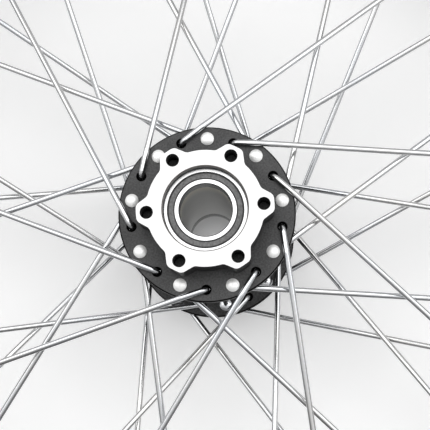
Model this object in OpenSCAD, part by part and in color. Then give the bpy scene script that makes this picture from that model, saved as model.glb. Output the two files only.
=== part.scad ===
// Spoked bicycle front wheel with a disc-brake hub for a 20 mm through axle, shown bare:
// no tyre, no axle and no brake disc. Units are millimetres.
// The axle lies along Y, the disc side faces -Y, and Z is up. The origin is the wheel's centre.
// Every module is drawn with the axle along its own z, the disc side up, and laid down at the end.

/* [Rim] */
// Diameter of the seat that the tyre bead sits on
rim_bead_d = 349; // [300:1:640]
// Width of the rim over its side walls
rim_w = 25; // [21:0.5:32]
// Height of the side walls above the bead seat
rim_hook_h = 5.8; // [4:0.1:7]
// Thickness of the side walls
rim_wall = 1.6; // [1.2:0.1:2.2]
// Depth from the bead seat to the centres of the nipple heads
rim_seat_depth = 8.5; // [7.5:0.1:12]
// Thickness of the inner wall that the nipples pull on
rim_bed_t = 2.2; // [2:0.1:3]
// Half the width of that inner wall
rim_bed_half_w = 6.5; // [5.5:0.1:8]
// Thickness of the outer wall between the bead seats
rim_bridge_t = 1.4; // [1:0.1:1.8]
// Depth of the well between the bead seats
rim_well_depth = 2.4; // [1.5:0.1:3]
// Diameter of the valve hole
valve_hole_d = 8.5; // [6.2:0.1:8.8]
// Sideways offset of the spoke holes towards their own flange
hole_stagger = 1.5; // [0:0.1:2.5]

/* [Spokes] */
// Diameter of the spoke wire
spoke_d = 2.34; // [1.8:0.01:2.6]
// Bend radius of the spoke elbow, to the middle of the wire
elbow_r = 2.4; // [2.1:0.1:2.6]
// Bend radius of an outside spoke where it turns over the flange's edge
edge_bend_r = 4; // [3:0.5:8]
// Diameter of the spoke head
spoke_head_d = 5.1; // [4.6:0.1:5.4]
// Height of the domed spoke head
spoke_head_h = 1.3; // [1.1:0.1:1.9]
// Turn of the hub past the even lacing, in degrees
hub_turn = 1.9; // [0:0.1:3]
// Number of crossings of each spoke
crossings = 3; // [2:1:3]
// Number of spokes
spoke_count = 36; // [32, 36]

/* [Nipples] */
// Diameter of the round nipple head
nipple_head_d = 6.4; // [6.1:0.1:6.8]
// Diameter of the nipple body
nipple_d = 4; // [3.7:0.1:4.2]
// Width across the four spanner flats
nipple_flats = 3.3; // [3.1:0.1:3.5]
// Length of the nipple below the centre of its head
nipple_l = 10.8; // [9.5:0.1:13]
// Height of the nipple head above its centre
nipple_head_h = 1.3; // [1.1:0.1:1.6]

/* [Hub] */
// Distance of the disc face from the wheel's centre plane
disc_face = 39.5; // [38.5:0.1:44]
// Distance of the disc side flange's outer face from the centre plane
near_flange = 27; // [25:0.1:29]
// Distance of the other flange's outer face from the centre plane
far_flange = 37.2; // [35:0.1:38]
// Distance of the hub's other end from the centre plane
far_end = 42.5; // [42:0.1:46]
// Thickness of both flanges
flange_t = 3.2; // [2.6:0.1:3.8]
// Diameter of the circle of spoke holes
spoke_circle_d = 58.5; // [58:0.5:68]
// Width of the flange beyond the centres of its spoke holes
flange_edge = 4.75; // [3.8:0.05:5.5]
// Wall of the barrel between the flanges
barrel_wall = 3.6; // [2.8:0.1:4.5]
// Radius that blends the barrel into the flanges
barrel_fillet = 4; // [2:0.1:5]
// Wall round the bearing on the side away from the disc
collar_wall = 4.4; // [3.5:0.1:5]
// Depth of the disc side bearing below the disc face
near_recess = 4.2; // [3:0.1:5]
// Width of the shoulder that each outer race rests on
bearing_shoulder = 1.5; // [1:0.1:1.6]

/* [Disc mount] */
// Diameter of the circle of disc bolts
disc_pcd = 44; // [43:0.1:45]
// Diameter of the threaded disc bolt holes
disc_bolt_d = 5; // [4.8:0.1:5.2]
// Depth of the disc bolt holes
disc_bolt_depth = 10; // [8:0.1:11]
// Diameter of the mount over its lobes
mount_d = 51.8; // [51.2:0.1:52.4]
// Diameter of the mount between the lobes
mount_core_d = 44.2; // [43.6:0.1:44.6]
// Distance from a bolt's centre to the flanks of its lobe
flank_wall = 4.64; // [4.4:0.02:4.8]
// Slant of a lobe's flanks to the line from the axle through the bolt, in degrees
flank_slope = 33.5; // [31:0.5:36]
// Radius of the lobes' corners
lobe_corner_r = 2.6; // [2:0.1:3]
// Radius of the hollow blend beside each lobe
lobe_blend_r = 3; // [2:0.1:4]
// Angle of the first bolt hole, in degrees
bolt_angle = 11.1; // [0:0.1:59]

/* [Bearings] */
// Bore of both bearings, which is the axle's diameter
bearing_bore = 20; // [19:0.1:20.5]
// Outside diameter of both bearings
bearing_d = 32; // [31.5:0.1:33]
// Width of both bearings
bearing_w = 7; // [6.8:0.1:7.4]
// Diameter of the balls
ball_d = 3.5; // [3.3:0.05:3.7]
// Number of balls in each bearing
ball_count = 13; // [10:1:13]
// Distance of each race's shoulder from the circle through the ball centres
race_gap = 1.3; // [1.2:0.05:1.4]
// Thickness of the bearing seals
seal_t = 0.5; // [0.4:0.05:0.6]
// Depth of the seals below the race faces
seal_recess = 0.2; // [0.1:0.05:0.3]
// Chamfer on the races' bores and outside corners
race_chamfer = 0.3; // [0.2:0.05:0.4]
// Wall of the tube between the inner races
sleeve_wall = 1.4; // [1:0.1:1.6]

/* [Clearances] */
// Radial clearance between a ball and its groove
groove_clear = 0.05; // [0.03:0.01:0.08]
// Radial clearance between a seal lip and the inner race
lip_clear = 0.08; // [0.05:0.01:0.1]
// Clearance round each ball in its cage pocket
pocket_clear = 0.08; // [0.05:0.01:0.12]
// Radial clearance round the spoke wire in its hub hole
spoke_hole_clear = 0.13; // [0.08:0.01:0.2]
// Radial clearance round the nipple body in its rim hole
nipple_clear = 0.15; // [0.1:0.01:0.25]
// Gap between a spoke and the flange's face beside its elbow
face_clear = 0.1; // [0.05:0.01:0.2]
// Clearance round the ball of a nipple's head in its seat
nipple_seat_clear = 0.05; // [0.02:0.01:0.1]
// Radial step from the races' bore to the sleeve's wider bore
sleeve_relief = 0.02; // [0.01:0.005:0.02]

/* [Hidden] */
$fn = 64;
rim_fn = 144;
seat_r = rim_bead_d / 2 - rim_seat_depth;
nipple_head_r = nipple_head_d / 2;
// The centre of the head's ball stands this share of its radius above the bed, in a shallow cup.
seat_share = 0.47;
head_rise = seat_share * nipple_head_r;
// Clearance that lets a nipple's head through the outer wall of the rim
access_clear = 0.9;
bed_outer_r = seat_r - head_rise;
bed_inner_r = bed_outer_r - rim_bed_t;
bead_r = rim_bead_d / 2;
rim_r = bead_r + rim_hook_h;
half_w = rim_w / 2;
shelf_w = 4.2;
well_slope_w = 2.2;
hook_bulge = 0.5;
hook_bulge_h = 1.6;
corner = 0.4;
cut = 1;

spoke_r = spoke_d / 2;
spoke_circle_r = spoke_circle_d / 2;
flange_r = spoke_circle_r + flange_edge;
flange_chamfer = 0.5;
hole_r = spoke_r + spoke_hole_clear;
// Countersinks of a spoke hole: on the elbow's side, where the wire bends inside it, and under the head
elbow_sink_w = 0.7;
elbow_sink_depth = 0.9;
head_sink = 0.3;
// A bend thins the wire a little, and the straight stretches run this far into it.
bend_thinning = 0.01;
bend_lap = 0.1;
// The dome of a spoke head runs this far into its rim.
dome_lap = 0.01;
thread_gap = 1;
rim_step = 360 / spoke_count;
// Angle at the axle between a spoke's hub hole and its rim hole, before the hub's turn
lace_angle = crossings * 2 * rim_step;
// The valve at 90 degrees stands midway between two rim holes.
first_rim_angle = 90 + rim_step / 2 - 10 * rim_step;
slot_w = 1;
slot_depth = 0.8;
flats_from = 3.6;

bore_r = bearing_bore / 2;
bearing_r = bearing_d / 2;
pitch_r = (bore_r + bearing_r) / 2;
inner_shoulder_r = pitch_r - race_gap;
outer_shoulder_r = pitch_r + race_gap;
ball_r = ball_d / 2;
groove_r = ball_r + groove_clear;
seal_top = bearing_w / 2 - seal_recess;
seal_groove = 0.35;
cage_t = 1.4;
cage_base = 0.55;
cage_rise = 1.3;
// Each bearing's middle, measured from the wheel's centre plane
near_bearing = disc_face - near_recess - bearing_w / 2;
far_recess = near_recess;
far_bearing = far_end - far_recess - bearing_w / 2;
sleeve_near = near_bearing - bearing_w / 2;
sleeve_far = far_bearing - bearing_w / 2;
hub_bore_r = bearing_r - bearing_shoulder;
barrel_r = hub_bore_r + barrel_wall;
collar_r = bearing_r + collar_wall;
mouth_chamfer = 0.4;
// The lobes' arcs reach this far past the lines and arcs that they join, which run on by the lap.
blend_bite = 0.02;
blend_lap = 0.4;

spoke_names = [for (i = [1:spoke_count]) str("spoke_", i < 10 ? "0" : "", i)];

// Lays a piece that is drawn with the axle along z into the wheel: z turns to -Y and y to +Z.
module lay() rotate([90, 0, 0]) children();

// Puts a piece drawn for the disc side on that side, or mirrored on the other side.
module on_side(near) {
    if (near) children();
    else mirror([0, 0, 1]) children();
}

// Lacing of spoke i, counted from 0. Even spokes run to the disc side flange.
// In each four, the last two have their elbow on the flange's outer face.
function is_near(i) = i % 2 == 0;
function is_outside(i) = i % 4 >= 2;
function rim_angle(i) = first_rim_angle + i * rim_step;
function leads(i) = i % 4 == 1 || i % 4 == 2;
function hub_angle(i) = rim_angle(i) + (leads(i) ? lace_angle + hub_turn : hub_turn - lace_angle);
function face_out(i) = is_near(i) ? near_flange : far_flange;
function face_in(i) = face_out(i) - flange_t;

// Seen along the axle: hub hole, nipple seat, their distance and the spoke's bearing
function hub_hole(i) = spoke_circle_r * [cos(hub_angle(i)), sin(hub_angle(i))];
function rim_hole(i) = seat_r * [cos(rim_angle(i)), sin(rim_angle(i))];
function reach(i) = norm(rim_hole(i) - hub_hole(i));
function heading(i) = let (v = rim_hole(i) - hub_hole(i)) atan2(v.y, v.x);
// Distance along the spoke from its hole to the flange's edge
function edge_reach(i) =
    let (c = spoke_circle_r * cos(heading(i) - hub_angle(i)))
    sqrt(c * c + flange_r * flange_r - spoke_circle_r * spoke_circle_r) - c;

// Height of the point where the shank's axis meets the axis of the wire beside the flange
function corner_z(i) =
    is_outside(i) ? face_out(i) + spoke_r + face_clear : face_in(i) - spoke_r - face_clear;
// An outside spoke runs level over the flange and leans towards the rim from its edge on.
function lean_from(i) = is_outside(i) ? edge_reach(i) : 0;
function lean_reach(i) = reach(i) - lean_from(i);
function lean(i) = atan((corner_z(i) - hole_stagger) / lean_reach(i));
function spoke_run(i) = norm([lean_reach(i), corner_z(i) - hole_stagger]);

// Half of the rim's outline, in radius and width
function rim_half() = [
    [bed_inner_r, 0], [bed_inner_r, rim_bed_half_w], [bead_r - rim_seat_depth / 2, half_w - corner],
    [bead_r - rim_seat_depth / 2 + corner, half_w], [rim_r - corner, half_w],
    [rim_r, half_w - corner], [rim_r, half_w - rim_wall - hook_bulge + corner],
    [rim_r - corner, half_w - rim_wall - hook_bulge],
    [rim_r - hook_bulge_h, half_w - rim_wall - hook_bulge],
    [rim_r - hook_bulge_h - hook_bulge, half_w - rim_wall], [bead_r, half_w - rim_wall],
    [bead_r, half_w - rim_wall - shelf_w],
    [bead_r - rim_well_depth, half_w - rim_wall - shelf_w - well_slope_w],
    [bead_r - rim_well_depth, 0]];

// Half of the closed hollow inside the rim
function hollow_half() = [
    [bed_outer_r, 0], [bed_outer_r, rim_bed_half_w - rim_wall / 2],
    [bead_r - rim_seat_depth / 2 + corner, half_w - rim_wall],
    [bead_r - rim_bridge_t, half_w - rim_wall],
    [bead_r - rim_bridge_t, half_w - rim_wall - shelf_w + rim_bridge_t / 2],
    [bead_r - rim_well_depth - rim_bridge_t, half_w - rim_wall - shelf_w - well_slope_w],
    [bead_r - rim_well_depth - rim_bridge_t, 0]];

function mirrored(half) = concat(half, [for (i = [len(half) - 2:-1:1]) [half[i].x, -half[i].y]]);

// Places a piece drawn along its own z at the nipple seat of spoke i, pointing out of the rim.
module at_nipple(i)
    on_side(is_near(i))
        translate([rim_hole(i).x, rim_hole(i).y, hole_stagger])
            rotate([0, 0, heading(i)])
                rotate([0, 90 + lean(i), 0])
                    children();

module rim() {
    // The nipple holes reach past the bed on both sides, also where they slant.
    hole_reach = rim_bed_t + head_rise + nipple_d / 2;
    color("dimgray") lay() difference() {
        rotate_extrude($fn = rim_fn) polygon(mirrored(rim_half()));
        rotate_extrude($fn = rim_fn) polygon(mirrored(hollow_half()));
        for (i = [0:spoke_count - 1]) at_nipple(i) {
            cylinder(r = nipple_d / 2 + nipple_clear, h = 2 * hole_reach, center = true);
            sphere(nipple_head_r + nipple_seat_clear);
            cylinder(r = nipple_head_r + access_clear, h = rim_seat_depth + rim_hook_h);
        }
        rotate([0, 0, 90]) rotate([0, 90, 0]) translate([0, 0, bed_inner_r - cut])
            cylinder(d = valve_hole_d, h = rim_hook_h + rim_seat_depth + rim_bed_t + head_rise + 2 * cut);
    }
}

// One nipple along z, with the centre of its head at the origin
module nipple() {
    difference() {
        union() {
            intersection() {
                sphere(nipple_head_r);
                translate([0, 0, nipple_head_h - nipple_head_r])
                    cylinder(r = nipple_head_r + cut, h = nipple_head_r);
            }
            translate([0, 0, -flats_from]) cylinder(d = nipple_d, h = flats_from);
            intersection() {
                translate([0, 0, -nipple_l]) cylinder(d = nipple_d, h = nipple_l - flats_from + cut);
                cube([nipple_flats, nipple_flats, 2 * nipple_l], center = true);
            }
        }
        translate([0, 0, -nipple_l - cut]) cylinder(r = spoke_r, h = nipple_l + nipple_head_h + 2 * cut);
        translate([0, 0, nipple_head_h]) cube([nipple_head_d + cut, slot_w, 2 * slot_depth], center = true);
    }
}

module nipples(near) {
    color("silver") lay()
        for (i = [0:spoke_count - 1]) if (is_near(i) == near) at_nipple(i) nipple();
}

// Domed head, with its flat seat at z = 0 and the shank going up
module spoke_head() {
    dome_r = (pow(spoke_head_d / 2, 2) + pow(spoke_head_h - corner, 2)) / (2 * (spoke_head_h - corner));
    rotate_extrude() union() {
        translate([0, -corner]) square([spoke_head_d / 2, corner]);
        intersection() {
            translate([0, dome_r - spoke_head_h]) circle(dome_r);
            translate([0, -spoke_head_h]) square([spoke_head_d / 2, spoke_head_h - corner + dome_lap]);
        }
    }
}

// A bend of the wire, drawn in the plane of x and z round the point [x, z], from one angle to another
module wire_bend(centre, bend_r, from, to)
    translate([centre.x, 0, centre.y]) rotate([90, 0, 0]) rotate([0, 0, from])
        rotate_extrude(angle = to - from) translate([bend_r, 0]) circle(spoke_r - bend_thinning);

// A straight stretch of the wire from a bend at [x, z], turned down by an angle from level
module wire_run(start, down, length)
    translate([start.x, 0, start.y]) rotate([0, 90 + down, 0]) translate([0, 0, -bend_lap])
        cylinder(r = spoke_r, h = length + bend_lap);

// Spoke i, from its head through the flange and round the elbow to its end in the nipple.
// It is drawn round the point where the shank's axis meets the axis of the wire beside the flange.
module spoke(i) {
    outside = is_outside(i);
    turn = outside ? 90 : 90 - lean(i);
    elbow_tangent = elbow_r * tan(turn / 2);
    // Length that the last bend takes from the run to the rim
    taken = outside ? edge_bend_r * tan(lean(i) / 2) : elbow_tangent;
    seat = outside ? corner_z(i) - face_in(i) : face_out(i) - corner_z(i);
    run_start = [lean_from(i), 0] + taken * [cos(lean(i)), -sin(lean(i))];
    color("gainsboro") lay() on_side(is_near(i))
        translate([hub_hole(i).x, hub_hole(i).y, corner_z(i)]) rotate([0, 0, heading(i)]) union() {
            // Shank and head, drawn downwards for an outside elbow
            on_side(outside) translate([0, 0, -seat]) {
                spoke_head();
                translate([0, 0, -spoke_head_h / 2])
                    cylinder(r = spoke_r, h = seat - elbow_tangent + spoke_head_h / 2 + bend_lap);
            }
            if (outside) {
                wire_bend([elbow_r, -elbow_r], elbow_r, 90, 180);
                wire_run([elbow_r, 0], 0, lean_from(i) - taken - elbow_r + bend_lap);
                wire_bend([lean_from(i) - taken, -edge_bend_r], edge_bend_r, 90 - lean(i), 90);
            } else wire_bend([elbow_r, elbow_tangent], elbow_r, 180, 180 + turn);
            wire_run(run_start, lean(i), spoke_run(i) - taken - thread_gap);
        }
}

// Outline of the disc mount: a round core with a lobe for each bolt. The lobes end on one circle,
// with round corners and slanting flanks, and hollow arcs blend the flanks into the core.
module mount_outline() {
    core_r = mount_core_d / 2;
    top_r = mount_d / 2;
    // Distance of a flank's line from the axle
    flank = disc_pcd / 2 * sin(flank_slope) + flank_wall;
    corner_turn = asin((flank - lobe_corner_r) / (top_r - lobe_corner_r)) - flank_slope;
    blend_turn = asin((flank + lobe_blend_r) / (core_r + lobe_blend_r)) - flank_slope;
    out = [sin(flank_slope), cos(flank_slope)];
    inwards = [-cos(flank_slope), sin(flank_slope)];
    corner_at = (top_r - lobe_corner_r) * [cos(corner_turn), sin(corner_turn)];
    blend_at = (core_r + lobe_blend_r) * [cos(blend_turn), sin(blend_turn)];
    flank_top = corner_at + lobe_corner_r * out;
    flank_foot = blend_at - lobe_blend_r * out;
    circle(core_r);
    for (k = [0:5]) rotate(bolt_angle + 60 * k) {
        intersection() {
            circle(top_r);
            polygon([[0, 0], 2 * corner_at, [2 * corner_at.x, -2 * corner_at.y]]);
        }
        for (side = [0, 1]) mirror([0, side]) {
            polygon([[0, 0], [corner_at.x, 0], corner_at, flank_top, flank_foot + blend_lap * inwards]);
            translate(corner_at) circle(lobe_corner_r + blend_bite);
            difference() {
                polygon([[0, 0], flank_foot, blend_at]);
                translate(blend_at) circle(lobe_blend_r + blend_bite);
            }
        }
    }
}

// Outline of the turned hub body, in radius and distance along the axle
module body_outline() {
    near_in = near_flange - flange_t;
    far_in = flange_t - far_flange;
    difference() {
        polygon([
            [0, near_flange],
            [flange_r - flange_chamfer, near_flange], [flange_r, near_flange - flange_chamfer],
            [flange_r, near_in + flange_chamfer], [flange_r - flange_chamfer, near_in],
            [barrel_r + barrel_fillet, near_in], [barrel_r, near_in - barrel_fillet],
            [barrel_r, far_in + barrel_fillet], [barrel_r + barrel_fillet, far_in],
            [flange_r - flange_chamfer, far_in], [flange_r, far_in - flange_chamfer],
            [flange_r, flange_chamfer - far_flange], [flange_r - flange_chamfer, -far_flange],
            [collar_r, -far_flange], [collar_r, flange_chamfer - far_end],
            [collar_r - flange_chamfer, -far_end], [0, -far_end]]);
        // The fillets are hollow arcs, cut a little deeper than the straight chamfers above.
        translate([barrel_r + barrel_fillet, near_in - barrel_fillet]) circle(barrel_fillet);
        translate([barrel_r + barrel_fillet, far_in + barrel_fillet]) circle(barrel_fillet);
    }
}

// Everything that is bored along the axle, in radius and distance
module bore_outline() {
    near_seat = near_bearing - bearing_w / 2;
    far_seat = bearing_w / 2 - far_bearing;
    polygon([
        [0, disc_face + cut], [bearing_r + mouth_chamfer + cut, disc_face + cut],
        [bearing_r, disc_face - mouth_chamfer], [bearing_r, near_seat], [hub_bore_r, near_seat],
        [hub_bore_r, far_seat], [bearing_r, far_seat], [bearing_r, mouth_chamfer - far_end],
        [bearing_r + mouth_chamfer + cut, -far_end - cut], [0, -far_end - cut]]);
}

// Countersink of a spoke hole whose mouth is at z = 0
module sink(w, depth)
    translate([0, 0, -depth]) cylinder(r1 = hole_r, r2 = hole_r + 2 * w, h = 2 * depth);

module hub_shell() {
    color([0.2, 0.2, 0.21]) lay() difference() {
        union() {
            rotate_extrude($fn = rim_fn) body_outline();
            translate([0, 0, near_flange - flange_t / 2])
                linear_extrude(disc_face - near_flange + flange_t / 2) mount_outline();
        }
        rotate_extrude($fn = rim_fn) bore_outline();
        for (k = [0:5]) rotate(bolt_angle + 60 * k)
            translate([disc_pcd / 2, 0, disc_face - disc_bolt_depth])
                cylinder(d = disc_bolt_d, h = disc_bolt_depth + cut);
        for (i = [0:spoke_count - 1]) on_side(is_near(i))
            translate([hub_hole(i).x, hub_hole(i).y, face_in(i) + flange_t / 2]) on_side(is_outside(i)) {
                cylinder(r = hole_r, h = flange_t + 2 * cut, center = true);
                translate([0, 0, flange_t / 2]) sink(elbow_sink_w, elbow_sink_depth);
                translate([0, 0, -flange_t / 2]) mirror([0, 0, 1]) sink(head_sink, head_sink);
            }
    }
}

// The bearing pieces below are drawn round the bearing's middle.
module place_bearing(near)
    lay() on_side(near) translate([0, 0, near ? near_bearing : far_bearing]) children();

module outer_race() {
    seal_r = outer_shoulder_r + seal_groove;
    half = bearing_w / 2;
    rotate_extrude($fn = rim_fn) difference() {
        polygon([
            [outer_shoulder_r, -half], [bearing_r - race_chamfer, -half], [bearing_r, race_chamfer - half],
            [bearing_r, half - race_chamfer], [bearing_r - race_chamfer, half], [outer_shoulder_r, half]]);
        translate([pitch_r, 0]) circle(groove_r);
        for (side = [-1, 1]) translate([0, side * (seal_top - seal_t / 2)])
            square([2 * seal_r, seal_t], center = true);
        for (side = [-1, 1]) translate([0, side * (half + cut / 2)])
            square([2 * (seal_r - seal_groove / 3), 2 * seal_recess + cut], center = true);
    }
}

module inner_race() {
    half = bearing_w / 2;
    rotate_extrude($fn = rim_fn) difference() {
        polygon([
            [bore_r + race_chamfer, -half], [inner_shoulder_r, -half], [inner_shoulder_r, half],
            [bore_r + race_chamfer, half], [bore_r, half - race_chamfer], [bore_r, race_chamfer - half]]);
        translate([pitch_r, 0]) circle(groove_r);
    }
}

module balls()
    for (k = [0:ball_count - 1]) rotate(360 / ball_count * k) translate([pitch_r, 0, 0]) sphere(ball_r);

// Crown cage: a ring below the balls, with walls between them that reach past their middle
module cage() difference() {
    rotate_extrude($fn = rim_fn) translate([pitch_r - cage_t / 2, -ball_r - cage_base])
        square([cage_t, ball_r + cage_base + cage_rise]);
    for (k = [0:ball_count - 1]) rotate(360 / ball_count * k) translate([pitch_r, 0, 0])
        sphere(ball_r + pocket_clear);
}

module seal(outer)
    translate([0, 0, (outer ? 1 : -1) * (seal_top - seal_t / 2) - seal_t / 2]) difference() {
        cylinder(r = outer_shoulder_r + seal_groove, h = seal_t, $fn = rim_fn);
        translate([0, 0, -cut])
            cylinder(r = inner_shoulder_r + lip_clear, h = seal_t + 2 * cut, $fn = rim_fn);
    }

module axle_sleeve() {
    inner = bore_r + sleeve_relief;
    color("silver") lay() translate([0, 0, -sleeve_far]) difference() {
        cylinder(r = inner + sleeve_wall, h = sleeve_near + sleeve_far);
        translate([0, 0, -cut]) cylinder(r = inner, h = sleeve_near + sleeve_far + 2 * cut);
    }
}

hub_shell();
rim();
axle_sleeve();
color("lightgray") place_bearing(true) outer_race();  // left_outer_race
color("lightgray") place_bearing(true) inner_race();  // left_inner_race
color("white") place_bearing(true) balls();  // left_balls
color("tan") place_bearing(true) cage();  // left_cage
color("gray") place_bearing(true) seal(true);  // left_outer_seal
color("gray") place_bearing(true) seal(false);  // left_inner_seal
color("lightgray") place_bearing(false) outer_race();  // right_outer_race
color("lightgray") place_bearing(false) inner_race();  // right_inner_race
color("white") place_bearing(false) balls();  // right_balls
color("tan") place_bearing(false) cage();  // right_cage
color("gray") place_bearing(false) seal(true);  // right_outer_seal
color("gray") place_bearing(false) seal(false);  // right_inner_seal
nipples(true);  // left_nipples
nipples(false);  // right_nipples
for (i = [0:spoke_count - 1]) spoke(i);
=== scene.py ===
import math

import bpy
from bpy.props import FloatProperty, FloatVectorProperty, IntProperty, PointerProperty
from mathutils import Matrix, Vector


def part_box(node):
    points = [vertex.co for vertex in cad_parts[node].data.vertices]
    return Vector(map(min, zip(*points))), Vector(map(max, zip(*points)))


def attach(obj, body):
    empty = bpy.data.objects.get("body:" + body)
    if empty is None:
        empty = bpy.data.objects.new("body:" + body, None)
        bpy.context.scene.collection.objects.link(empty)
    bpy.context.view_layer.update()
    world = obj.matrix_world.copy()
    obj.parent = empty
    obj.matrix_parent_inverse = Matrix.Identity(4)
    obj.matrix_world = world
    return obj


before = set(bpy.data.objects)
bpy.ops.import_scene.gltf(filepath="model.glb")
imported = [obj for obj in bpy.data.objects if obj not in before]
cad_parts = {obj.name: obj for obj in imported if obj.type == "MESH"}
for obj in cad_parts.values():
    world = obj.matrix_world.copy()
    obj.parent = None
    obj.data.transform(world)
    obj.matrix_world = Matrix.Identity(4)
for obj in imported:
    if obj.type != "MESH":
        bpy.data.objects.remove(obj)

bl_info = {
    "name": "Spoked wheel finishes",
    "version": (1, 0, 0),
    "blender": (4, 5, 0),
    "location": "View3D > Sidebar > Wheel",
    "description": "Finishes, bolt threads and studio for a spoked wheel with a disc-brake hub",
    "category": "Object",
}

MM = 0.001
BLACK, WHITE = (0.0, 0.0, 0.0), (1.0, 1.0, 1.0)
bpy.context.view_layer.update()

# Radii from the axle, and places along it, that part one finish from the next
AXLE_BORE_R = 10 * MM
SEAL_RING_INNER = (12.15 * MM, 12.3 * MM)
SEAL_RING_OUTER = (13.9 * MM, 14.05 * MM)
SEAL_GROOVE = (14.3 * MM, 14.62 * MM)
RECESS_R = 17 * MM
MOUNT_R = 26.2 * MM
SPOKE_HOLES_R = 31.5 * MM
RIM_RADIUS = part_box("rim")[1].z
DISC_FACE = -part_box("hub_shell")[0].y
RECESS_MOUTH = (36.6 * MM, 39.4 * MM)
SLEEVE_BAND_END = (-27 * MM, -17 * MM)
FAR_RACE_BORE = (29.8 * MM, 36.2 * MM)
NEAR_FLANGE, FAR_FLANGE, FLANGE_T = 27 * MM, 37.2 * MM, 3.2 * MM

# Odd numbers sit in the disc side's flange and even ones in the other. Of each flange's spokes
# every second one has its head on the flange's outer face: these leave 1 or 2 when divided by 4
SPOKES = sorted(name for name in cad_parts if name.startswith("spoke_"))
HEAD_OUTSIDE = [name for name in SPOKES if int(name[-2:]) % 4 in (1, 2)]
HEAD_INSIDE = [name for name in SPOKES if name not in HEAD_OUTSIDE]

# How far below the disc face the thread ridge's z = 0 lies
THREAD_START = 0.9 * MM

# Stage, in metres: from the floor's middle to its sides, from the backdrop's middle to its ends and
# from the axle to its top, and half the length and width of the painted shadow round the wheel's
# foot
FLOOR_REACH = 2.5
BACKDROP_REACH, BACKDROP_TOP = 1.6, 1.4
SHADOW_POOL_LENGTH, SHADOW_POOL_WIDTH = 0.5, 0.2

# What diffuse rays meet on the paper, what the surroundings show to rays that see them, and the
# even light that they give
BOUNCE_GREY = (0.3, 0.3, 0.3)
SURROUND_GREY = (0.85, 0.85, 0.85)
FILL_GREY = (0.06, 0.06, 0.06)


# ---------------------------------------------------------------- shader maths


class Signal:
    """A socket that can be calculated with: an expression on it adds the Math nodes."""

    def __init__(self, graph, socket):
        self.graph = graph
        self.socket = socket

    def math(self, operation, *others):
        """A Math node on this signal and others, or numbers."""
        return self.graph.add("ShaderNodeMath", {"operation": operation}, [self, *others])

    def __add__(self, other):
        return self.math("ADD", other)

    __radd__ = __add__

    def __sub__(self, other):
        return self.math("SUBTRACT", other)

    def __rsub__(self, other):
        return self.graph.add("ShaderNodeMath", {"operation": "SUBTRACT"}, [other, self])

    def __mul__(self, other):
        return self.math("MULTIPLY", other)

    __rmul__ = __mul__

    def __neg__(self):
        return self.math("MULTIPLY", -1.0)

    def __lt__(self, other):
        return self.math("LESS_THAN", other)

    def __gt__(self, other):
        return self.math("GREATER_THAN", other)

    def root(self):
        return self.math("SQRT")

    def between(self, low, high):
        return (self > low) * (self < high)


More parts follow.
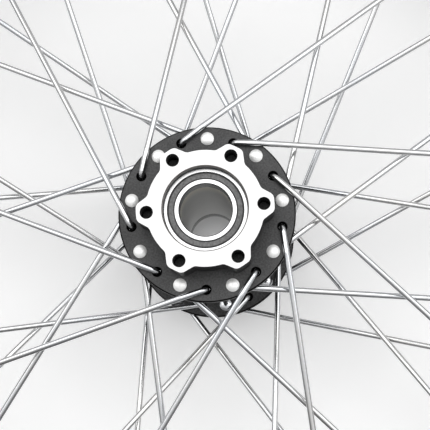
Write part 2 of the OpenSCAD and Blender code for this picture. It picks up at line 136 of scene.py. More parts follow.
class Graph:
    """A node tree, and the one method that adds its nodes."""

    def __init__(self, tree):
        self.tree = tree
        tree.nodes.clear()

    def add(self, kind, settings=None, values=(), output=0):
        """Adds a node, sets its settings and then its sockets by index or name, and returns
        one output."""
        node = self.tree.nodes.new(kind)
        for name, value in (settings or {}).items():
            if name == "stops":
                ramp = node.color_ramp
                for stop, (position, colour) in enumerate(value):
                    if stop >= len(ramp.elements):
                        ramp.elements.new(position)
                    ramp.elements[stop].position = position
                    ramp.elements[stop].color = (*colour, 1.0)
            else:
                setattr(node, name, value)
        pairs = values.items() if isinstance(values, dict) else enumerate(values)
        for key, value in pairs:
            socket = node.inputs[key]
            if isinstance(value, Signal):
                self.tree.links.new(value.socket, socket)
            elif hasattr(socket.default_value, "__len__") and hasattr(value, "__len__"):
                socket.default_value = (*value, 1.0)[: len(socket.default_value)]
            else:
                socket.default_value = value
        self.node = node
        return Signal(self, node.outputs[output]) if len(node.outputs) else None

    def seen(self):
        """1 for rays from the camera, from gloss and through glass, and 0 for the rest."""
        camera = self.add("ShaderNodeLightPath", output="Is Camera Ray")
        rays = self.node.outputs
        gloss = Signal(self, rays["Is Glossy Ray"])
        glass = Signal(self, rays["Is Transmission Ray"])
        return camera.math("MAXIMUM", gloss).math("MAXIMUM", glass)

    def point(self):
        """The place on the piece, in Object coordinates."""
        return self.add("ShaderNodeTexCoord", output="Object")

    def axes(self, point):
        """The x, y and z of a point."""
        x = self.add("ShaderNodeSeparateXYZ", {}, [point], "X")
        return x, Signal(self, self.node.outputs["Y"]), Signal(self, self.node.outputs["Z"])

    def along_axle(self, point):
        """A point's place along the axle, and its distance from it."""
        x, y, z = self.axes(point)
        return y, (x * x + z * z).root()

    def facing(self, axis):
        """One component of the surface's own normal."""
        normal = self.add("ShaderNodeTexCoord", output="Normal")
        return self.add("ShaderNodeSeparateXYZ", {}, [normal], axis)

    def noise(self, vector, size, detail=2.0, roughness=0.5):
        """Noise from 0 to 1, whose blotches are about as wide as size."""
        return self.add("ShaderNodeTexNoise", {}, {
            "Vector": vector, "Scale": 1.0 / size, "Detail": detail, "Roughness": roughness})

    def turned(self, r, y, size):
        """Lines round the axle, as from a lathe tool's feed."""
        lines = self.add("ShaderNodeCombineXYZ", {}, [r, y, 0.0])
        return self.noise(lines, size, 3.0, 0.6)

    def blend(self, mask, low, high):
        """Mixes two colours by a mask."""
        self.add("ShaderNodeMix", {"data_type": "RGBA"}, {0: mask})
        node = self.node
        for socket, colour in ((node.inputs[6], low), (node.inputs[7], high)):
            if isinstance(colour, Signal):
                self.tree.links.new(colour.socket, socket)
            else:
                socket.default_value = (*colour, 1.0)
        return Signal(self, node.outputs[2])

    def smooth_step(self, value, low, high):
        """0 below low, 1 above high and smooth between."""
        return self.add("ShaderNodeMapRange", {"interpolation_type": "SMOOTHSTEP"},
                        [value, low, high, 0.0, 1.0])

    def contrast(self, value, low, high):
        """0 below low, 1 above high and straight between."""
        return self.add("ShaderNodeValToRGB", {"stops": [(low, BLACK), (high, WHITE)]}, [value])

    def bump(self, height, distance, strength):
        """The surface's normal, tilted by a height from 0 to 1."""
        return self.add("ShaderNodeBump", {}, {
            "Height": height, "Distance": distance, "Strength": strength}, "Normal")

    def surface(self, **sockets):
        """Ends the tree in a Principled surface with these sockets."""
        names = {"colour": "Base Color", "roughness": "Roughness", "metallic": "Metallic",
                 "normal": "Normal", "specular": "Specular IOR Level"}
        shader = self.add("ShaderNodeBsdfPrincipled", {}, {
            names[key]: value for key, value in sockets.items()})
        self.add("ShaderNodeOutputMaterial", {}, [shader])


def new_material(name):
    """An empty material and the graph of its tree."""
    material = bpy.data.materials.new(name)
    material.use_nodes = True
    return material, Graph(material.node_tree)


def scaled(colour, share):
    """A colour times a number."""
    return tuple(channel * share for channel in colour)


def dress(nodes, material):
    """Gives CAD nodes one material."""
    for name in nodes:
        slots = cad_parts[name].data.materials
        slots.clear()
        slots.append(material)


# ---------------------------------------------------------------- finishes


def anodised_hub(look):
    """Blasted black anodising, bare and bright on the machined disc face, and paler at the mouth of
    its recess, where painted shade fades it to black further in.
    Painted shade makes it deepest black in the spoke holes and round the flanges' edges."""
    material, g = new_material("hub_black_anodised")
    point = g.point()
    y, r = g.along_axle(point)
    axial = g.facing("Y")
    bright = (y < 0.05 * MM - DISC_FACE) * (axial < -0.7)
    # Painted shade: beyond the mount, surfaces that don't face along the axle, in the spoke holes
    # and round the flanges' edges, get a darker colour
    hub_hole_shade = (axial * axial < 0.9) * (r > MOUNT_R)
    # Paler at the recess mouth; further in, painted shade fades it to the black anodising
    recess = (r < RECESS_R) * g.smooth_step(-y, *RECESS_MOUTH)
    grain = g.noise(point, 0.75 * MM, 4.0, 0.75)
    cloud = g.noise(point, 9 * MM)
    speckle = g.contrast(grain * 0.75 + cloud * 0.25, 0.4, 0.6)
    black = g.blend(speckle, scaled(look.hub_colour, 0.05), scaled(look.hub_colour, 2.3))
    black = g.blend(hub_hole_shade, black, scaled(look.hub_colour, 0.4))
    rings = g.turned(r, y, 0.12 * MM)
    metal = g.blend(rings, scaled(look.face_colour, 0.94), look.face_colour)
    colour = g.blend(bright, g.blend(recess, black, look.recess_colour), metal)
    blasted, cut = look.hub_roughness + 0.3 * (grain - 0.5), 0.36 + 0.12 * rings
    roughness = (1.0 - bright) * blasted + bright * cut
    height = (1.0 - bright) * grain + bright * rings * 0.1
    g.surface(colour=colour, roughness=roughness, metallic=bright + hub_hole_shade,
              normal=g.bump(height, 0.09 * MM, 0.8), specular=0.45)
    return material


def anodised_rim(look):
    """Satin black anodising with faint rolling lines round the rim."""
    material, g = new_material("rim_black_anodised")
    point = g.point()
    y, r = g.along_axle(point)
    lines = g.turned(r, y, 0.25 * MM)
    grain = g.noise(point, 0.35 * MM)
    scuffs = g.contrast(g.noise(point, 14 * MM, 4.0, 0.65), 0.45, 0.7)
    relief = lines * 0.5 + grain * 0.5
    colour = g.blend(relief, scaled(look.rim_colour, 0.75), scaled(look.rim_colour, 1.3))
    g.surface(colour=colour, roughness=look.rim_roughness + 0.1 * (lines - 0.5) + 0.07 * scuffs,
              metallic=0.25, normal=g.bump(relief, 0.02 * MM, 0.4))
    return material


def spoke_steel(look, name, matt_head):
    """Polished stainless wire with faint tints and fine handling marks, rougher and darkened with
    painted shade where it passes through the flanges.
    A matt head is an upset one that lies beyond a flange's outer face."""
    material, g = new_material(name)
    point = g.point()
    y, r = g.along_axle(point)
    tint = g.noise(point, 38 * MM, 1.0)
    marks = g.noise(point, 0.5 * MM, 4.0, 0.65)
    streak = g.contrast(g.noise(point, 5 * MM, 3.0), 0.4, 0.65)
    in_near = y.between(-NEAR_FLANGE, FLANGE_T - NEAR_FLANGE)
    in_far = y.between(FAR_FLANGE - FLANGE_T, FAR_FLANGE)
    # Painted shade: where the wire passes through a flange's hole it is made almost black, and
    # rougher
    wire_hole_shade = (in_near + in_far) * (r < SPOKE_HOLES_R)
    steel = g.blend(tint, look.spoke_cool, look.spoke_warm)
    colour = g.blend(wire_hole_shade, steel, scaled(look.spoke_cool, 0.08))
    roughness = look.spoke_roughness + 0.08 * (marks - 0.5) + 0.05 * streak + 0.3 * wire_hole_shade
    metallic = 1.0
    if matt_head:
        head = 1.0 - y.between(-NEAR_FLANGE, FAR_FLANGE)
        matt = g.blend(marks, scaled(look.head_colour, 0.92), look.head_colour)
        colour = g.blend(head, colour, matt)
        roughness, metallic = roughness + 0.3 * head, 1.0 - 0.55 * head
    g.surface(colour=colour, metallic=metallic, roughness=roughness,
              normal=g.bump(marks, 0.006 * MM, 0.5))
    return material


def nipple_plating(look):
    """Bright nickel on brass, a little duller in patches."""
    material, g = new_material("nipple_nickel_plating")
    point = g.point()
    fine = g.noise(point, 0.4 * MM, 3.0)
    patch = g.noise(point, 3 * MM)
    colour = g.blend(patch, scaled(look.nipple_colour, 0.9), look.nipple_colour)
    g.surface(colour=colour, metallic=1.0, roughness=0.16 + 0.16 * patch * fine,
              normal=g.bump(fine, 0.01 * MM, 0.4))
    return material


def ground_steel(look):
    """Ground bearing steel, with lines round the axle; painted shade greys the bore and makes its
    chamfers dark. Painted shade, almost black, also fills the groove round the seal and the bore on
    the side away from the disc."""
    material, g = new_material("bearing_ground_steel")
    point = g.point()
    y, r = g.along_axle(point)
    lines = g.turned(r, y, 0.09 * MM)
    film = g.noise(point, 2.5 * MM)
    steel = g.blend(film, scaled(look.race_colour, 0.95), look.race_colour)
    # Painted shade: the bore's chamfers almost black and the bore greyer
    chamfer_shade, bore = r < AXLE_BORE_R + 0.28 * MM, r < AXLE_BORE_R + 0.02 * MM
    steel = g.blend(chamfer_shade, steel, scaled(look.race_colour, 0.05))
    steel = g.blend(bore, steel, scaled(look.race_colour, 0.34))
    # Painted shade, almost black, in the groove round the seal and over the far race's bore
    groove_and_bore_shade = bore * y.between(*FAR_RACE_BORE) + r.between(*SEAL_GROOVE)
    steel = g.blend(groove_and_bore_shade, steel, scaled(look.race_colour, 0.01))
    g.surface(colour=steel, metallic=1.0, roughness=0.2 + 0.14 * lines,
              normal=g.bump(lines, 0.008 * MM, 0.4))
    return material


def seal_rubber(look):
    """Moulded grey rubber with a raised and paler middle ring."""
    material, g = new_material("seal_grey_rubber")
    point = g.point()
    _, r = g.along_axle(point)
    grain = g.noise(point, 0.22 * MM, 3.0, 0.6)
    dust = g.noise(point, 1.8 * MM, 3.0)
    worn = g.noise(point, 0.9 * MM, 4.0, 0.7)
    ring = g.smooth_step(r, *SEAL_RING_INNER) * (1.0 - g.smooth_step(r, *SEAL_RING_OUTER))
    low = g.blend(dust, scaled(look.seal_colour, 0.03), scaled(look.seal_colour, 0.07))
    high = g.blend(g.contrast(dust * 0.4 + worn * 0.6, 0.38, 0.62),
                   scaled(look.seal_colour, 0.65), scaled(look.seal_colour, 1.35))
    g.surface(colour=g.blend(ring, low, high), roughness=0.5 + 0.2 * grain,
              normal=g.bump(ring + 0.08 * grain, 0.12 * MM, 0.7))
    return material


def cage_nylon(look):
    """Moulded nylon, slightly uneven in colour."""
    material, g = new_material("cage_moulded_nylon")
    point = g.point()
    grain = g.noise(point, 0.3 * MM)
    patch = g.noise(point, 3 * MM)
    g.surface(colour=g.blend(patch, scaled(look.cage_colour, 0.85), look.cage_colour),
              roughness=0.45 + 0.15 * grain, normal=g.bump(grain, 0.02 * MM, 0.5))
    return material


def sleeve_alloy(look):
    """Turned aluminium tube, with the tool's feed along it, and painted light: a paler, warm band
    at the end on the disc side, where light comes into the bore."""
    material, g = new_material("sleeve_turned_alloy")
    point = g.point()
    y, r = g.along_axle(point)
    feed = g.turned(r, y, 0.2 * MM)
    stain = g.noise(point, 12 * MM, 3.0)
    alloy = g.blend(stain, look.sleeve_colour, scaled(look.sleeve_colour, 0.85))
    # Painted light: the bore is paler and warmer towards its open end on the disc side
    band = (1.0 - g.smooth_step(y, *SLEEVE_BAND_END)) * (0.5 + 0.5 * stain)
    g.surface(colour=g.blend(band, alloy, look.sleeve_painted_light), metallic=0.85,
              roughness=look.sleeve_roughness + 0.12 * (feed - 0.5),
              normal=g.bump(feed, 0.02 * MM, 0.5))
    return material


def thread_steel(look):
    """Cut aluminium threads, darkened by the anodising."""
    material, g = new_material("bolt_thread_black")
    grain = g.noise(g.point(), 0.2 * MM)
    colour = g.blend(grain, scaled(look.hub_colour, 0.4), scaled(look.hub_colour, 0.8))
    g.surface(colour=colour, metallic=0.8, roughness=0.35 + 0.2 * grain,
              normal=g.bump(grain, 0.01 * MM, 0.4))
    return material


# ---------------------------------------------------------------- settings


class WheelLook(bpy.types.PropertyGroup):
    """Colours and roughness of the wheel's finishes"""
    hub_colour: FloatVectorProperty(
        name="Hub anodising", description="Colour of the hub's black anodising",
        subtype="COLOR", default=(0.023, 0.023, 0.0235), min=0, max=1)
    hub_roughness: FloatProperty(
        name="Hub roughness", description="Roughness of the hub's anodising",
        subtype="FACTOR", default=0.48, min=0, max=1)
    face_colour: FloatVectorProperty(
        name="Machined face", description="Colour of the machined disc face",
        subtype="COLOR", default=(0.5, 0.5, 0.5), min=0, max=1)
    recess_colour: FloatVectorProperty(
        name="Bearing recess", description="Colour at the mouth of the bearing's recess",
        subtype="COLOR", default=(0.17, 0.155, 0.145), min=0, max=1)
    rim_colour: FloatVectorProperty(
        name="Rim anodising", description="Colour of the rim's black anodising",
        subtype="COLOR", default=(0.028, 0.028, 0.03), min=0, max=1)
    rim_roughness: FloatProperty(
        name="Rim roughness", description="Roughness of the rim's anodising",
        subtype="FACTOR", default=0.4, min=0, max=1)
    spoke_cool: FloatVectorProperty(
        name="Steel, cool", description="Cool tint of the polished spokes",
        subtype="COLOR", default=(0.495, 0.52, 0.56), min=0, max=1)
    spoke_warm: FloatVectorProperty(
        name="Steel, warm", description="Warm tint of the polished spokes",
        subtype="COLOR", default=(0.545, 0.53, 0.505), min=0, max=1)
    head_colour: FloatVectorProperty(
        name="Spoke heads", description="Colour of the spokes' upset heads",
        subtype="COLOR", default=(0.96, 0.96, 0.95), min=0, max=1)
    spoke_roughness: FloatProperty(
        name="Spoke roughness", description="Roughness of the polished spokes",
        subtype="FACTOR", default=0.14, min=0, max=1)
    nipple_colour: FloatVectorProperty(
        name="Nipple plating", description="Colour of the nipples' plating",
        subtype="COLOR", default=(0.83, 0.82, 0.79), min=0, max=1)
    race_colour: FloatVectorProperty(
        name="Bearing steel", description="Colour of the races and balls",
        subtype="COLOR", default=(0.58, 0.58, 0.585), min=0, max=1)
    seal_colour: FloatVectorProperty(
        name="Seal rubber", description="Colour of the bearing seals",
        subtype="COLOR", default=(0.175, 0.175, 0.175), min=0, max=1)
    cage_colour: FloatVectorProperty(
        name="Cage nylon", description="Colour of the ball cages",
        subtype="COLOR", default=(0.72, 0.66, 0.52), min=0, max=1)
    sleeve_colour: FloatVectorProperty(
        name="Sleeve alloy", description="Colour of the axle sleeve",
        subtype="COLOR", default=(0.66, 0.66, 0.65), min=0, max=1)
    # Colour of the painted light at the sleeve's open end on the disc side
    sleeve_painted_light: FloatVectorProperty(
        name="Sleeve band", description="Colour of the sleeve's paler end on the disc side",
        subtype="COLOR", default=(0.93, 0.9, 0.8), min=0, max=1)
    sleeve_roughness: FloatProperty(
        name="Sleeve roughness", description="Roughness of the axle sleeve's bore",
        subtype="FACTOR", default=0.42, min=0, max=1)


class WheelThreads(bpy.types.PropertyGroup):
    """Sizes of the threads in the disc bolt holes"""
    count: IntProperty(
        name="Bolts", description="Number of disc bolt holes", default=6, min=3, max=8)
    circle: FloatProperty(
        name="Bolt circle", description="Radius of the circle of disc bolts",
        unit="LENGTH", default=22 * MM, min=15 * MM, max=30 * MM)
    first: FloatProperty(
        name="First bolt", description="Angle of the first bolt hole",
        unit="ROTATION", default=math.radians(11.1))
    pitch: FloatProperty(
        name="Pitch", description="Pitch of the bolt threads",
        unit="LENGTH", default=0.8 * MM, min=0.5 * MM, max=1.25 * MM)
    outer: FloatProperty(
        name="Thread radius", description="Radius at the threads' roots",
        unit="LENGTH", default=2.49 * MM, min=2 * MM, max=3 * MM)
    inner: FloatProperty(
        name="Crest radius", description="Radius at the threads' crests",
        unit="LENGTH", default=2.1 * MM, min=1.6 * MM, max=2.6 * MM)
    depth: FloatProperty(
        name="Depth", description="Length of the cut thread down the bolt hole",
        unit="LENGTH", default=8.6 * MM, min=5 * MM, max=9 * MM)


class WheelStudio(bpy.types.PropertyGroup):
    """Camera, lamps and paper"""
    azimuth: FloatProperty(
        name="Azimuth", description="Camera's turn round the upright, before its roll",
        unit="ROTATION", default=math.radians(2.668))
    elevation: FloatProperty(
        name="Elevation", description="Camera's height angle, before its roll",
        unit="ROTATION", default=math.radians(-9.792))
    roll: FloatProperty(
        name="Roll", description="Turn of camera and target about the axle",
        unit="ROTATION", default=math.radians(7.191))
    distance: FloatProperty(
        name="Distance", description="Camera's distance from its target",
        unit="LENGTH", default=516.8 * MM)
    lens: FloatProperty(
        name="Lens", description="Focal length in millimetres", unit="CAMERA", default=107.305)
    target: FloatVectorProperty(
        name="Target", description="Point that the camera looks at, before the roll",
        subtype="TRANSLATION", default=(1.882 * MM, 0, 4.088 * MM))
    paper: FloatVectorProperty(
        name="Paper", description="Colour of the floor and backdrop",
        subtype="COLOR", default=(0.92, 0.92, 0.92), min=0, max=1)
    # Darker paper of the painted shade by the wheel's foot, on the floor and along the backdrop's
    # foot
    foot: FloatVectorProperty(
        name="Foot", description="Colour of the floor and backdrop by the wheel's foot",
        subtype="COLOR", default=(0.5, 0.5, 0.5), min=0, max=1)
    backdrop_glow: FloatProperty(
        name="Backdrop glow", description="Light that the backdrop shows of its own",
        subtype="FACTOR", default=0.35, min=0, max=1)
    floor_glow: FloatProperty(
        name="Floor glow", description="Light that the floor shows of its own, away from the wheel",
        subtype="FACTOR", default=0.45, min=0, max=1)
    front_power: FloatProperty(
        name="Front lamp", description="Power of the front softbox",
        unit="POWER", default=16, min=0, max=400)
    rear_power: FloatProperty(
        name="Rear lamp", description="Power of the softbox behind the wheel",
        unit="POWER", default=12, min=0, max=400)
    backdrop_gap: FloatProperty(
        name="Backdrop gap", description="Distance of the backdrop behind the wheel's centre plane",
        unit="LENGTH", default=0.055, min=0.045, max=1)


# ---------------------------------------------------------------- pieces


def on_both_sides(*pieces):
    """Names of the bearing pieces on both sides."""
    return [side + piece for side in ("left_", "right_") for piece in pieces]


class WHEEL_OT_hub(bpy.types.Operator):
    """Finish the hub shell in black with a machined disc face"""
    bl_idname = "wheel.hub"
    bl_label = "Hub shell"
    bl_options = {"REGISTER", "UNDO"}

    def execute(self, context):
        dress(["hub_shell"], anodised_hub(context.scene.wheel_look))
        return {"FINISHED"}


class WHEEL_OT_rim(bpy.types.Operator):
    """Finish the rim in satin black"""
    bl_idname = "wheel.rim"
    bl_label = "Rim"
    bl_options = {"REGISTER", "UNDO"}

    def execute(self, context):
        dress(["rim"], anodised_rim(context.scene.wheel_look))
        return {"FINISHED"}


class WHEEL_OT_spokes(bpy.types.Operator):
    """Finish the spokes in polished steel"""
    bl_idname = "wheel.spokes"
    bl_label = "Spokes"
    bl_options = {"REGISTER", "UNDO"}

    def execute(self, context):
        look = context.scene.wheel_look
        dress(HEAD_OUTSIDE, spoke_steel(look, "spoke_steel_matt_head", matt_head=True))
        dress(HEAD_INSIDE, spoke_steel(look, "spoke_steel", matt_head=False))
        return {"FINISHED"}


class WHEEL_OT_nipples(bpy.types.Operator):
    """Finish the nipples in bright plating"""
    bl_idname = "wheel.nipples"
    bl_label = "Nipples"
    bl_options = {"REGISTER", "UNDO"}

    def execute(self, context):
        dress(["left_nipples", "right_nipples"], nipple_plating(context.scene.wheel_look))
        return {"FINISHED"}


class WHEEL_OT_races(bpy.types.Operator):
    """Finish the bearing races and balls in ground steel"""
    bl_idname = "wheel.races"
    bl_label = "Races and balls"
    bl_options = {"REGISTER", "UNDO"}

    def execute(self, context):
        pieces = on_both_sides("outer_race", "inner_race", "balls")
        dress(pieces, ground_steel(context.scene.wheel_look))
        return {"FINISHED"}


class WHEEL_OT_seals(bpy.types.Operator):
    """Finish the bearing seals in grey rubber"""
    bl_idname = "wheel.seals"
    bl_label = "Seals"
    bl_options = {"REGISTER", "UNDO"}

    def execute(self, context):
        dress(on_both_sides("outer_seal", "inner_seal"), seal_rubber(context.scene.wheel_look))
        return {"FINISHED"}


class WHEEL_OT_cages(bpy.types.Operator):
    """Finish the ball cages in nylon"""
    bl_idname = "wheel.cages"
    bl_label = "Ball cages"
    bl_options = {"REGISTER", "UNDO"}

    def execute(self, context):
        dress(on_both_sides("cage"), cage_nylon(context.scene.wheel_look))
        return {"FINISHED"}


class WHEEL_OT_sleeve(bpy.types.Operator):
    """Finish the axle sleeve in turned aluminium"""
    bl_idname = "wheel.sleeve"
    bl_label = "Axle sleeve"
    bl_options = {"REGISTER", "UNDO"}

    def execute(self, context):
        dress(["axle_sleeve"], sleeve_alloy(context.scene.wheel_look))
        return {"FINISHED"}


def thread_ridge(threads):
    """One helical ridge round z, closed at both ends. It starts at z = -depth, ends just above
    z = 0, and is low at both ends and full height after one turn."""
    steps, least = 28, 0.05
    foot = 0.42 * threads.pitch  # half the ridge's width where it meets the hole's wall
    flat = 0.12 * foot  # half the width of its crest
    rows = int(steps * (threads.depth / threads.pitch))
    points, faces = [], []
    for row in range(rows + 1):
        angle = 2 * math.pi * row / steps
        z = foot + threads.pitch * row / steps - threads.depth
        share = max(min(1.0, row / steps, (rows - row) / steps), least)
        crest = threads.outer - (threads.outer - threads.inner) * share
        for radius, lift in ((threads.outer, -foot), (crest, -flat), (crest, flat),
                             (threads.outer, foot)):
            points.append((radius * math.cos(angle), radius * math.sin(angle), z + lift))
    for row in range(rows):
        here, ahead = 4 * row, 4 * row + 4
        for corner in range(4):
            beside = (corner + 1) % 4
            faces.append((here + corner, here + beside, ahead + beside, ahead + corner))
    faces.append((3, 2, 1, 0))
    faces.append(tuple(4 * rows + corner for corner in range(4)))
    mesh = bpy.data.meshes.new("thread_ridge")
    mesh.from_pydata(points, [], faces)
    mesh.validate()
    return mesh


def round_repeat_tree():
    """Repeats its geometry on a circle about the axle, at a height along it, and sets one
    material."""
    tree = bpy.data.node_groups.new("Repeat on the bolt circle", "GeometryNodeTree")
    face = tree.interface
    face.new_socket("Geometry", in_out="INPUT", socket_type="NodeSocketGeometry")
    for name, kind in (("Count", "NodeSocketInt"), ("Radius", "NodeSocketFloat"),
                       ("First angle", "NodeSocketFloat"), ("Height", "NodeSocketFloat"),
                       ("Material", "NodeSocketMaterial")):
        face.new_socket(name, in_out="INPUT", socket_type=kind)
    face.new_socket("Geometry", in_out="OUTPUT", socket_type="NodeSocketGeometry")
    g = Graph(tree)
    g.add("NodeGroupInput")
    given = {socket.name: Signal(g, socket) for socket in g.node.outputs}
    circle = g.add("GeometryNodeMeshCircle", {}, {
        "Vertices": given["Count"], "Radius": given["Radius"]})
    turn = g.add("ShaderNodeCombineXYZ", {}, {"Z": given["First angle"]})
    lift = g.add("ShaderNodeCombineXYZ", {}, {"Z": given["Height"]})
    placed = g.add("GeometryNodeTransform", {}, {
        "Geometry": circle, "Rotation": turn, "Translation": lift})
    copies = g.add("GeometryNodeInstanceOnPoints", {}, {
        "Points": placed, "Instance": given["Geometry"]})
    laid = g.add("GeometryNodeTransform", {}, {
        "Geometry": copies, "Rotation": (math.radians(90), 0, 0)})
    real = g.add("GeometryNodeRealizeInstances", {}, {"Geometry": laid})
    finished = g.add("GeometryNodeSetMaterial", {}, {
        "Geometry": real, "Material": given["Material"]})
    g.add("NodeGroupOutput", {}, {"Geometry": finished})
    return tree


def bake(source, name, tree, values):
    """Runs a tree on a mesh with named inputs and returns the result as a plain mesh object."""
    carrier = bpy.data.objects.new(name + "_source", source)
    bpy.context.scene.collection.objects.link(carrier)
    modifier = carrier.modifiers.new("repeat", "NODES")
    modifier.node_group = tree
    for item in tree.interface.items_tree:
        if item.item_type == "SOCKET" and item.in_out == "INPUT" and item.name in values:
            modifier[item.identifier] = values[item.name]
    evaluated = carrier.evaluated_get(bpy.context.evaluated_depsgraph_get())
    mesh = bpy.data.meshes.new_from_object(evaluated)
    mesh.name = name
    bpy.data.objects.remove(carrier)
    piece = bpy.data.objects.new(name, mesh)
    bpy.context.scene.collection.objects.link(piece)
    return piece


class WHEEL_OT_bolt_threads(bpy.types.Operator):
    """Cut the fine threads of the disc bolt holes"""
    bl_idname = "wheel.bolt_threads"
    bl_label = "Disc bolt threads"
    bl_options = {"REGISTER", "UNDO"}

    def execute(self, context):
        threads = context.scene.wheel_threads
        piece = bake(thread_ridge(threads), "disc_bolt_threads", round_repeat_tree(), {
            "Count": threads.count, "Radius": threads.circle, "First angle": threads.first,
            "Height": DISC_FACE - THREAD_START,
            "Material": thread_steel(context.scene.wheel_look)})
        if len(piece.data.polygons) == 0:
            raise RuntimeError("the bolt threads came out empty")
        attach(piece, "wheel")
        return {"FINISHED"}


# ---------------------------------------------------------------- stage


def paper_material(name, painted_shade_tone, far, glow, mask, one_sided=False):
    """Matt paper with a faint tooth that pales from a darker colour, which is painted shade, to
    another, where it also glows.
    The glow is seen by eye and in gloss and lights nothing else.
    The mask takes the graph and a place's x, y and z, and says where the paper is pale, and so
    where painted light and shade lie on it.
    A one-sided sheet can be seen through from behind and lets the lamps' light pass."""
    material, g = new_material(name)
    point = g.point()
    pale = mask(g, *g.axes(point))
    tooth = g.noise(point, 1.5 * MM)
    tone = g.blend(tooth, g.blend(pale, painted_shade_tone, scaled(far, 0.985)), g.blend(pale, painted_shade_tone, far))
    paper = g.add("ShaderNodeBsdfDiffuse", {}, {"Color": tone})
    bright = g.add("ShaderNodeEmission", {}, {"Color": g.blend(pale, BLACK, (glow,) * 3)})
    shown = g.add("ShaderNodeAddShader", {}, [paper, bright])
    dim = g.add("ShaderNodeBsdfDiffuse", {}, {"Color": BOUNCE_GREY})
    paper = g.add("ShaderNodeMixShader", {}, [g.seen(), dim, shown])
    if one_sided:
        behind = g.add("ShaderNodeNewGeometry", output="Backfacing")
        lamps = g.add("ShaderNodeLightPath", output="Is Shadow Ray")
        clear = g.add("ShaderNodeBsdfTransparent")
        paper = g.add("ShaderNodeMixShader", {}, [behind.math("MAXIMUM", lamps), paper, clear])
    g.add("ShaderNodeOutputMaterial", {}, [paper])
    return material


def floor_painted_shadow(g, x, y, z):
    """Paints a soft oval shadow round the wheel's foot, where the paper takes the darker colour and
    doesn't glow.
    """
    across, along = x * (1 / SHADOW_POOL_LENGTH), y * (1 / SHADOW_POOL_WIDTH)
    return g.smooth_step((across * across + along * along).root(), 0.3, 1.5)


def backdrop_painted_light_and_shade(g, x, y, z):
    """Painted light and shade on the backdrop: paler away from the hub and low down, a painted
    shadow behind the hub but for a spot on its axis, and nothing, which is painted shade, at the
    backdrop's foot, below the view."""
    r = (x * x + z * z).root()
    # Painted light away from the hub and low down, painted shade higher up
    outer, high = g.smooth_step(r, 0.07, 0.16), g.smooth_step(z, -0.07, 0.08)
    painted_hub_shadow = g.smooth_step(r, 0.001, 0.014) * (r < 0.03)
    # Painted shade along the backdrop's foot, where it meets the floor
    above = g.smooth_step(z, -0.165, -0.105)
    return above * (0.96 + 0.2 * outer - 0.2 * high - 0.45 * painted_hub_shadow)


def sheet(name, corners, material):
    """One flat face of the stage."""
    mesh = bpy.data.meshes.new(name)
    mesh.from_pydata(corners, [], [tuple(range(len(corners)))])
    mesh.materials.append(material)
    piece = bpy.data.objects.new(name, mesh)
    bpy.context.scene.collection.objects.link(piece)


def lamp(name, place, aim, width, height, watts):
    """A soft rectangular lamp that faces a point."""
    data = bpy.data.lights.new(name, "AREA")
    data.shape = "RECTANGLE"
    data.size, data.size_y = width, height
    data.energy = watts
    piece = bpy.data.objects.new(name, data)
    piece.location = place
    piece.rotation_mode = "QUATERNION"
    piece.rotation_quaternion = (Vector(aim) - Vector(place)).to_track_quat("-Z", "Y")
    bpy.context.scene.collection.objects.link(piece)


def world_light():
    """Pale surroundings for the camera and for reflections, and an even soft light for the rest."""
    world = bpy.data.worlds.new("studio_surroundings")
    world.use_nodes = True
    g = Graph(world.node_tree)
    tone = g.blend(g.seen(), FILL_GREY, SURROUND_GREY)
    light = g.add("ShaderNodeBackground", {}, {"Color": tone, "Strength": 1.0})
    g.add("ShaderNodeOutputWorld", {}, [light])
    bpy.context.scene.world = world


def add_camera(studio):
    """The camera at the photograph's viewing angle."""
    azimuth, elevation = studio.azimuth, studio.elevation
    back = Vector((math.sin(azimuth) * math.cos(elevation),
                   -math.cos(azimuth) * math.cos(elevation), math.sin(elevation)))
    right = Vector((0, 0, 1)).cross(back).normalized()
    up = back.cross(right)
    pose = Matrix((right, up, back)).transposed().to_4x4()
    pose.translation = Vector(studio.target) + back * studio.distance
    data = bpy.data.cameras.new("camera")
    data.sensor_width = 36
    data.lens = studio.lens
    data.clip_start, data.clip_end = 0.01, 50
    camera = bpy.data.objects.new("camera", data)
    camera.matrix_world = Matrix.Rotation(-studio.roll, 4, "Y") @ pose
    bpy.context.scene.collection.objects.link(camera)
    bpy.context.scene.camera = camera


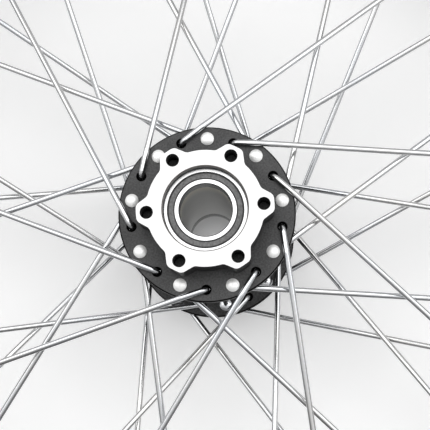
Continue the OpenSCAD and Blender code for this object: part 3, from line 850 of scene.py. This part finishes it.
class WHEEL_OT_stage(bpy.types.Operator):
    """Set up the camera, the lamps, the floor and the backdrop"""
    bl_idname = "wheel.stage"
    bl_label = "Stage"
    bl_options = {"REGISTER", "UNDO"}

    def execute(self, context):
        studio = context.scene.wheel_studio
        context.scene.view_settings.view_transform = "Standard"
        add_camera(studio)
        low, wall = -RIM_RADIUS - 0.2 * MM, studio.backdrop_gap
        reach, side, top = FLOOR_REACH, BACKDROP_REACH, BACKDROP_TOP
        sheet("floor",
              [(-reach, -reach, low), (reach, -reach, low),
               (reach, reach, low), (-reach, reach, low)],
              paper_material("floor_paper", studio.foot, studio.paper, studio.floor_glow,
                             floor_painted_shadow))
        sheet("backdrop",
              [(-side, wall, low), (side, wall, low), (side, wall, top), (-side, wall, top)],
              paper_material("backdrop_paper", studio.foot, studio.paper, studio.backdrop_glow,
                             backdrop_painted_light_and_shade, one_sided=True))
        lamp("front_softbox", place=(0, -0.9, 0.28), aim=(0, 0, 0.02), width=3.0, height=0.85,
             watts=studio.front_power)
        lamp("rear_softbox", place=(0, 1.2, 0.5), aim=(0, 0, 0), width=1.8, height=0.9,
             watts=studio.rear_power)
        world_light()
        return {"FINISHED"}


# ---------------------------------------------------------------- panel


PIECES = (WHEEL_OT_hub, WHEEL_OT_rim, WHEEL_OT_spokes, WHEEL_OT_nipples, WHEEL_OT_races,
          WHEEL_OT_seals, WHEEL_OT_cages, WHEEL_OT_sleeve, WHEEL_OT_bolt_threads, WHEEL_OT_stage)


class WHEEL_PT_panel(bpy.types.Panel):
    """Lists the wheel's pieces and settings"""
    bl_idname = "WHEEL_PT_panel"
    bl_label = "Wheel"
    bl_space_type = "VIEW_3D"
    bl_region_type = "UI"
    bl_category = "Wheel"

    def draw(self, context):
        for piece in PIECES:
            self.layout.operator(piece.bl_idname)
        for name in ("wheel_look", "wheel_threads", "wheel_studio"):
            group = getattr(context.scene, name)
            box = self.layout.box()
            for key in group.bl_rna.properties.keys():
                if key not in ("rna_type", "name"):
                    box.prop(group, key)


CLASSES = (WheelLook, WheelThreads, WheelStudio, *PIECES, WHEEL_PT_panel)


def register():
    """Adds the classes, and the three groups of settings on the scene."""
    for cls in CLASSES:
        bpy.utils.register_class(cls)
    bpy.types.Scene.wheel_look = PointerProperty(type=WheelLook)
    bpy.types.Scene.wheel_threads = PointerProperty(type=WheelThreads)
    bpy.types.Scene.wheel_studio = PointerProperty(type=WheelStudio)


def unregister():
    """Takes out what register adds."""
    del bpy.types.Scene.wheel_studio, bpy.types.Scene.wheel_threads, bpy.types.Scene.wheel_look
    for cls in reversed(CLASSES):
        bpy.utils.unregister_class(cls)


def main():
    """Runs every operator in order."""
    register()
    for piece in PIECES:
        group, name = piece.bl_idname.split(".")
        getattr(getattr(bpy.ops, group), name)()


if __name__ == "__main__":
    main()
